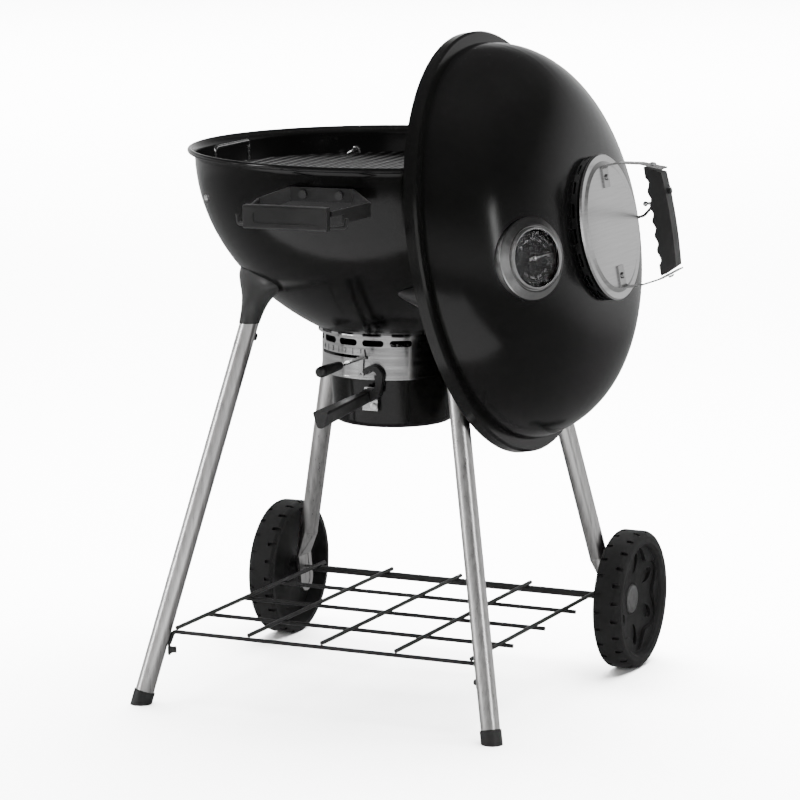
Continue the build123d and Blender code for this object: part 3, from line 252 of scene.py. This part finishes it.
def text_object(words, size, place, depth=0.00008):
    curve = bpy.data.curves.new("mark", "FONT")
    curve.body = words
    curve.size = size
    curve.align_x = "CENTER"
    curve.align_y = "CENTER"
    curve.extrude = depth
    obj = bpy.data.objects.new("mark", curve)
    obj.matrix_world = place
    scene.collection.objects.link(obj)
    return obj


def bar_object(length, width, place, depth=0.00016):
    half = (width / 2, length / 2, depth / 2)
    outline = ((-1, -1), (1, -1), (1, 1), (-1, 1))
    corners = [(x * half[0], y * half[1], z * half[2]) for z in (-1, 1) for x, y in outline]
    faces = [(3, 2, 1, 0), (4, 5, 6, 7), (0, 1, 5, 4), (1, 2, 6, 5), (2, 3, 7, 6), (3, 0, 4, 7)]
    data = bpy.data.meshes.new("bar")
    data.from_pydata(corners, [], faces)
    obj = bpy.data.objects.new("bar", data)
    obj.matrix_world = place
    scene.collection.objects.link(obj)
    return obj


def gauge_frame():
    """The gauge's own frame: Z out of the dial, Y towards the lid's crown."""
    turn = joint("needle_turn")
    normal = Vector(turn["axis"]).normalized()
    crown = Vector(joint("smoke_damper_turn")["axis"]).normalized()
    up = (crown - normal * crown.dot(normal)).normalized()
    side = up.cross(normal)
    frame_matrix = Matrix((side, up, normal)).transposed().to_4x4()
    return Matrix.Translation(turn["pos_m"]) @ frame_matrix


DIAL_TOP = 0.00475
DIAL_START, DIAL_SWEEP = 225, 270
OUTER_START, OUTER_STEP = 200, 44
INNER_R, INNER_SIZE = 0.0255, 0.0052
OUTER_R, OUTER_SIZE = 0.0352, 0.0040
TICK_R, BAND_R = 0.0302, 0.0325
LONG_TICK, SHORT_TICK, TICK_WIDTH = 0.0030, 0.0016, 0.0005
BAND_LENGTH, BAND_WIDTH, BAND_BARS = 0.0023, 0.00035, 72


def on_dial(base, radius, degrees, turn=-90):
    """A place on the dial at an angle, with its own Y pointing outwards unless turned."""
    angle = radians(degrees)
    spot = (cos(angle) * radius, sin(angle) * radius, DIAL_TOP)
    return base @ Matrix.Translation(spot) @ Matrix.Rotation(angle + radians(turn), 4, "Z")


def print_dial():
    base = gauge_frame()
    marks = []
    for i in range(11):
        place = on_dial(base, INNER_R, DIAL_START - DIAL_SWEEP * i / 10)
        marks.append(text_object(str(50 * (i + 1)), INNER_SIZE, place))
    for i in range(51):
        length = LONG_TICK if i % 5 == 0 else SHORT_TICK
        marks.append(bar_object(length, TICK_WIDTH, on_dial(base, TICK_R, DIAL_START - DIAL_SWEEP * i / 50)))
    for i in range(6):
        place = on_dial(base, OUTER_R, OUTER_START - OUTER_STEP * i)
        marks.append(text_object(str(20 + 50 * i), OUTER_SIZE, place))
    for i in range(BAND_BARS):
        degrees = DIAL_START - DIAL_SWEEP * i / (BAND_BARS - 1)
        marks.append(bar_object(BAND_LENGTH, BAND_WIDTH, on_dial(base, BAND_R, degrees, 0)))
    mesh_piece("dial_marks", marks, "print", "lid")


COLLAR_OUT = 0.10125
NUMBER_Z, NUMBER_SIZE, NUMBER_DEPTH = 0.4915, 0.0105, 0.0001
FIRST_NUMBER, NUMBER_STEP = -92, 15
RULE_LENGTH, RULE_WIDTH = 0.009, 0.0007


def on_collar(degrees):
    """A place on the collar's outside, facing outwards and upright."""
    bearing = radians(degrees)
    spot = (cos(bearing) * COLLAR_OUT, sin(bearing) * COLLAR_OUT, NUMBER_Z)
    upright = Matrix.Rotation(bearing + pi / 2, 4, "Z") @ Matrix.Rotation(pi / 2, 4, "X")
    return Matrix.Translation(spot) @ upright


def print_collar():
    """Numbers for the vent's stops, with thin lines between them, on the collar's front."""
    marks = []
    for i, word in enumerate(("1", "2", "3", "4")):
        degrees = FIRST_NUMBER - NUMBER_STEP * i
        marks.append(text_object(word, NUMBER_SIZE, on_collar(degrees), NUMBER_DEPTH))
        marks.append(bar_object(RULE_LENGTH, RULE_WIDTH, on_collar(degrees - NUMBER_STEP / 2)))
    mesh_piece("collar_marks", marks, "collar_print", "grill")


# ---------------------------------------------------------------- floor and light
FLOOR_HALF = 40.0


def add_floor():
    """A white floor that stays out of reflections, where the dim studio below the horizon shows instead."""
    far = FLOOR_HALF
    data = bpy.data.meshes.new("floor")
    data.from_pydata([(-far, -far, 0), (far, -far, 0), (far, far, 0), (-far, far, 0)], [], [(0, 1, 2, 3)])
    look = Look("floor_white").set(Specular_IOR_Level=0.1, Roughness=0.8)
    look.vary_color(look.noise(0.4), grey(0.93), grey(0.95))
    data.materials.append(look.material)
    floor = bpy.data.objects.new("floor", data)
    scene.collection.objects.link(floor)
    floor.visible_glossy = False


def add_area(name, at, aim, size, power, in_reflections=True):
    data = bpy.data.lights.new(name, "AREA")
    data.shape = "RECTANGLE"
    data.size, data.size_y = size
    data.energy = power
    light = bpy.data.objects.new(name, data)
    direction = Vector(aim) - Vector(at)
    light.matrix_world = Matrix.Translation(at) @ direction.to_track_quat("-Z", "Y").to_matrix().to_4x4()
    light.visible_glossy = in_reflections
    scene.collection.objects.link(light)
    return light


# the studio from straight down (0) over the horizon (0.5) to straight up (1): place and grey
BELOW, HORIZON_BAND, ABOVE = (0.40, 0.32), (0.48, 0.53), (0.72, 0.06)
WORLD_STRENGTH = 1.2


def add_world():
    """A studio that is bright round the horizon and dim above and below, so that metal has contrast."""
    world = bpy.data.worlds.new("studio")
    world.use_nodes = True
    tree = world.node_tree
    coords = tree.nodes.new("ShaderNodeTexCoord")
    split = tree.nodes.new("ShaderNodeSeparateXYZ")
    height = tree.nodes.new("ShaderNodeMapRange")
    height.inputs["From Min"].default_value = -1.0
    ramp = tree.nodes.new("ShaderNodeValToRGB")
    background = tree.nodes["Background"]
    elements = ramp.color_ramp.elements
    elements[0].position, elements[0].color = BELOW[0], (*grey(BELOW[1]), 1)
    elements[1].position, elements[1].color = ABOVE[0], (*grey(ABOVE[1]), 1)
    for place in HORIZON_BAND:
        elements.new(place).color = (1, 1, 1, 1)
    tree.links.new(coords.outputs["Generated"], split.inputs["Vector"])
    tree.links.new(split.outputs["Z"], height.inputs["Value"])
    tree.links.new(height.outputs["Result"], ramp.inputs["Fac"])
    tree.links.new(ramp.outputs["Color"], background.inputs["Color"])
    background.inputs["Strength"].default_value = WORLD_STRENGTH
    scene.world = world


def add_light():
    add_world()
    # two wide lights that whiten the floor without showing in the enamel
    add_area("top", (0.2, 0.7, 3.4), (0, 0.2, 0.3), (3.6, 3.4), 1600, False)
    add_area("back", (-4.0, 9.0, 7.0), (-4.5, 10.0, 0), (16.0, 12.0), 17000, False)
    # a bounce card on the floor in front, for the soft sheen low on the bowl and the lid
    bounce = add_area("bounce", (-0.3, -1.15, 0.02), (-0.3, -1.15, 1.0), (2.2, 1.3), 22)
    bounce.visible_camera = False
    bounce.visible_diffuse = False
    # two upright strips that draw the highlights down the legs
    add_area("left", (-3.0, -2.0, 1.6), (0, 0, 0.6), (0.5, 2.2), 85)
    add_area("right", (3.4, -1.6, 1.4), (0, 0, 0.6), (0.4, 2.0), 40)


add_camera()
dress_nodes()
print_dial()
print_collar()
add_floor()
add_light()
